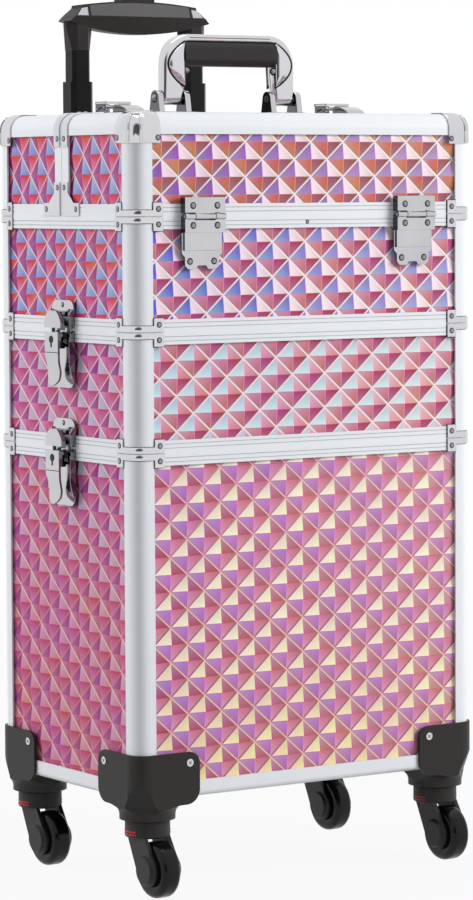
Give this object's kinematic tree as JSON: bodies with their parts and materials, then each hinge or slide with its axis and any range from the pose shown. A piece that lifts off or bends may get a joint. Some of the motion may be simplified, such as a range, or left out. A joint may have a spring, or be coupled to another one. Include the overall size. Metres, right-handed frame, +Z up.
{
  "type": "rolling makeup case",
  "caption": "Upright wheeled case with embossed iridescent walls in an aluminium frame, lift-off tiers, a split hinged lid, draw latches, a carry handle and a telescopic trolley handle.",
  "frame": {"origin": "on the floor under the middle of the bounding box", "axes": "+Z up, the front with the hinges faces -Y, +X to the right as seen from the front"},
  "size_m": [0.3764, 0.3127, 0.7713],
  "materials": {
    "film_board": "fibreboard under embossed iridescent film",
    "aluminium": "satin anodised",
    "chrome": "bright plated steel",
    "black_plastic": "fine moulded",
    "black_tube": "satin black",
    "caster_plastic": "semi-gloss",
    "wheel": "gloss",
    "grip_pad": "fine grained"
  },
  "bodies": {
    "bin": {"bin_boards": "film_board", "bin_frame": "aluminium", "bin_braces": "chrome", "corner_shoes": "black_plastic", "shoe_screws": "chrome", "trolley_brackets": "black_plastic", "trolley_sleeves": "black_tube", "bin_latch_bases": "chrome"},
    "middle_tier": {"middle_boards": "film_board", "middle_frame": "aluminium", "middle_braces": "chrome", "middle_latch_keepers": "chrome", "middle_latch_bases": "chrome"},
    "top_case": {"top_boards": "film_board", "top_frame": "aluminium", "top_braces": "chrome", "top_latch_keepers": "chrome", "hinge_leaves": "chrome", "hinge_pins": "chrome"},
    "front_lid": {"front_lid_boards": "film_board", "front_lid_frame": "aluminium", "front_lid_fittings": "chrome", "front_lid_hinges": "chrome", "front_lid_strikes": "chrome"},
    "rear_lid": {"rear_lid_boards": "film_board", "rear_lid_frame": "aluminium", "rear_lid_fittings": "chrome", "rear_lid_hinges": "chrome", "rear_lid_latch_bases": "chrome", "handle_brackets": "chrome", "handle_pins": "chrome"},
    "carry_handle": {"handle_loop": "chrome", "handle_grip": "grip_pad"},
    "left_lid_latch": {"left_lid_latch": "chrome"},
    "right_lid_latch": {"right_lid_latch": "chrome"},
    "trolley_lower": {"lower_tubes": "black_tube"},
    "trolley_upper": {"upper_tubes": "black_tube", "trolley_grip": "black_plastic"},
    "trolley_button": {"trolley_button": "black_plastic"},
    "left_bin_lever": {"left_bin_lever": "chrome"},
    "left_bin_catch": {"left_bin_catch": "chrome"},
    "right_bin_lever": {"right_bin_lever": "chrome"},
    "right_bin_catch": {"right_bin_catch": "chrome"},
    "left_tier_lever": {"left_tier_lever": "chrome"},
    "left_tier_catch": {"left_tier_catch": "chrome"},
    "right_tier_lever": {"right_tier_lever": "chrome"},
    "right_tier_catch": {"right_tier_catch": "chrome"},
    "front_left_fork": {"front_left_fork": "caster_plastic"},
    "front_left_wheel": {"front_left_wheel": "wheel"},
    "front_right_fork": {"front_right_fork": "caster_plastic"},
    "front_right_wheel": {"front_right_wheel": "wheel"},
    "rear_left_fork": {"rear_left_fork": "caster_plastic"},
    "rear_left_wheel": {"rear_left_wheel": "wheel"},
    "rear_right_fork": {"rear_right_fork": "caster_plastic"},
    "rear_right_wheel": {"rear_right_wheel": "wheel"}
  },
  "joints": [
    {"name": "middle_tier_lift", "type": "slide", "parent": "bin", "child": "middle_tier", "axis": [0, 0, 1], "range_m": [0, 0.15]},
    {"name": "top_case_lift", "type": "slide", "parent": "middle_tier", "child": "top_case", "axis": [0, 0, 1], "range_m": [0, 0.15]},
    {"name": "front_lid_hinge", "type": "hinge", "parent": "top_case", "child": "front_lid", "pos_m": [0, -0.14555, 0.5725], "axis": [1, 0, 0], "range_deg": [0, 95]},
    {"name": "rear_lid_hinge", "type": "hinge", "parent": "top_case", "child": "rear_lid", "pos_m": [0, 0.09485, 0.5725], "axis": [-1, 0, 0], "range_deg": [0, 28]},
    {"name": "carry_handle_fold", "type": "hinge", "parent": "rear_lid", "child": "carry_handle", "pos_m": [0, -0.01335, 0.6745], "axis": [1, 0, 0], "range_deg": [-85, 85]},
    {"name": "left_lid_latch_lift", "type": "hinge", "parent": "rear_lid", "child": "left_lid_latch", "pos_m": [-0.115, -0.01535, 0.666], "axis": [1, 0, 0], "range_deg": [0, 100]},
    {"name": "right_lid_latch_lift", "type": "hinge", "parent": "rear_lid", "child": "right_lid_latch", "pos_m": [0.115, -0.01535, 0.666], "axis": [1, 0, 0], "range_deg": [0, 100]},
    {"name": "left_bin_lever_swing", "type": "hinge", "parent": "bin", "child": "left_bin_lever", "pos_m": [-0.181, -0.02535, 0.3705], "axis": [0, 1, 0], "range_deg": [0, 100]},
    {"name": "left_bin_catch_swing", "type": "hinge", "parent": "left_bin_lever", "child": "left_bin_catch", "pos_m": [-0.179, -0.02535, 0.3655], "axis": [0, 1, 0], "range_deg": [-100, 0]},
    {"name": "right_bin_lever_swing", "type": "hinge", "parent": "bin", "child": "right_bin_lever", "pos_m": [0.181, -0.02535, 0.3705], "axis": [0, -1, 0], "range_deg": [0, 100]},
    {"name": "right_bin_catch_swing", "type": "hinge", "parent": "right_bin_lever", "child": "right_bin_catch", "pos_m": [0.179, -0.02535, 0.3655], "axis": [0, -1, 0], "range_deg": [-100, 0]},
    {"name": "left_tier_lever_swing", "type": "hinge", "parent": "middle_tier", "child": "left_tier_lever", "pos_m": [-0.181, -0.02535, 0.4715], "axis": [0, 1, 0], "range_deg": [0, 100]},
    {"name": "left_tier_catch_swing", "type": "hinge", "parent": "left_tier_lever", "child": "left_tier_catch", "pos_m": [-0.179, -0.02535, 0.4665], "axis": [0, 1, 0], "range_deg": [-100, 0]},
    {"name": "right_tier_lever_swing", "type": "hinge", "parent": "middle_tier", "child": "right_tier_lever", "pos_m": [0.181, -0.02535, 0.4715], "axis": [0, -1, 0], "range_deg": [0, 100]},
    {"name": "right_tier_catch_swing", "type": "hinge", "parent": "right_tier_lever", "child": "right_tier_catch", "pos_m": [0.179, -0.02535, 0.4665], "axis": [0, -1, 0], "range_deg": [-100, 0]},
    {"name": "front_left_swivel", "type": "hinge", "parent": "bin", "child": "front_left_fork", "pos_m": [-0.151, -0.11535, 0.064], "axis": [0, 0, 1], "continuous": true},
    {"name": "front_left_roll", "type": "hinge", "parent": "front_left_fork", "child": "front_left_wheel", "pos_m": [-0.151, -0.13235, 0.024], "axis": [1, 0, 0], "continuous": true},
    {"name": "front_right_swivel", "type": "hinge", "parent": "bin", "child": "front_right_fork", "pos_m": [0.151, -0.11535, 0.064], "axis": [0, 0, 1], "continuous": true},
    {"name": "front_right_roll", "type": "hinge", "parent": "front_right_fork", "child": "front_right_wheel", "pos_m": [0.151, -0.13235, 0.024], "axis": [1, 0, 0], "continuous": true},
    {"name": "rear_left_swivel", "type": "hinge", "parent": "bin", "child": "rear_left_fork", "pos_m": [-0.151, 0.06465, 0.064], "axis": [0, 0, 1], "continuous": true},
    {"name": "rear_left_roll", "type": "hinge", "parent": "rear_left_fork", "child": "rear_left_wheel", "pos_m": [-0.151, 0.04765, 0.024], "axis": [1, 0, 0], "continuous": true},
    {"name": "rear_right_swivel", "type": "hinge", "parent": "bin", "child": "rear_right_fork", "pos_m": [0.151, 0.06465, 0.064], "axis": [0, 0, 1], "continuous": true},
    {"name": "rear_right_roll", "type": "hinge", "parent": "rear_right_fork", "child": "rear_right_wheel", "pos_m": [0.151, 0.04765, 0.024], "axis": [1, 0, 0], "continuous": true},
    {"name": "trolley_lower_slide", "type": "slide", "parent": "bin", "child": "trolley_lower", "axis": [0, 0, 1], "range_m": [-0.22, 0]},
    {"name": "trolley_upper_slide", "type": "slide", "parent": "trolley_lower", "child": "trolley_upper", "axis": [0, 0, 1], "range_m": [-0.026, 0.25]},
    {"name": "trolley_button_press", "type": "slide", "parent": "trolley_upper", "child": "trolley_button", "axis": [0, 0, -1], "range_m": [0, 0.003], "stiffness_N_per_m": 600, "springref_m": -0.003}
  ],
  "couplings": [
    {"joint": "left_bin_catch_swing", "follows": "left_bin_lever_swing", "ratio": -1},
    {"joint": "right_bin_catch_swing", "follows": "right_bin_lever_swing", "ratio": -1},
    {"joint": "left_tier_catch_swing", "follows": "left_tier_lever_swing", "ratio": -1},
    {"joint": "right_tier_catch_swing", "follows": "right_tier_lever_swing", "ratio": -1}
  ]
}
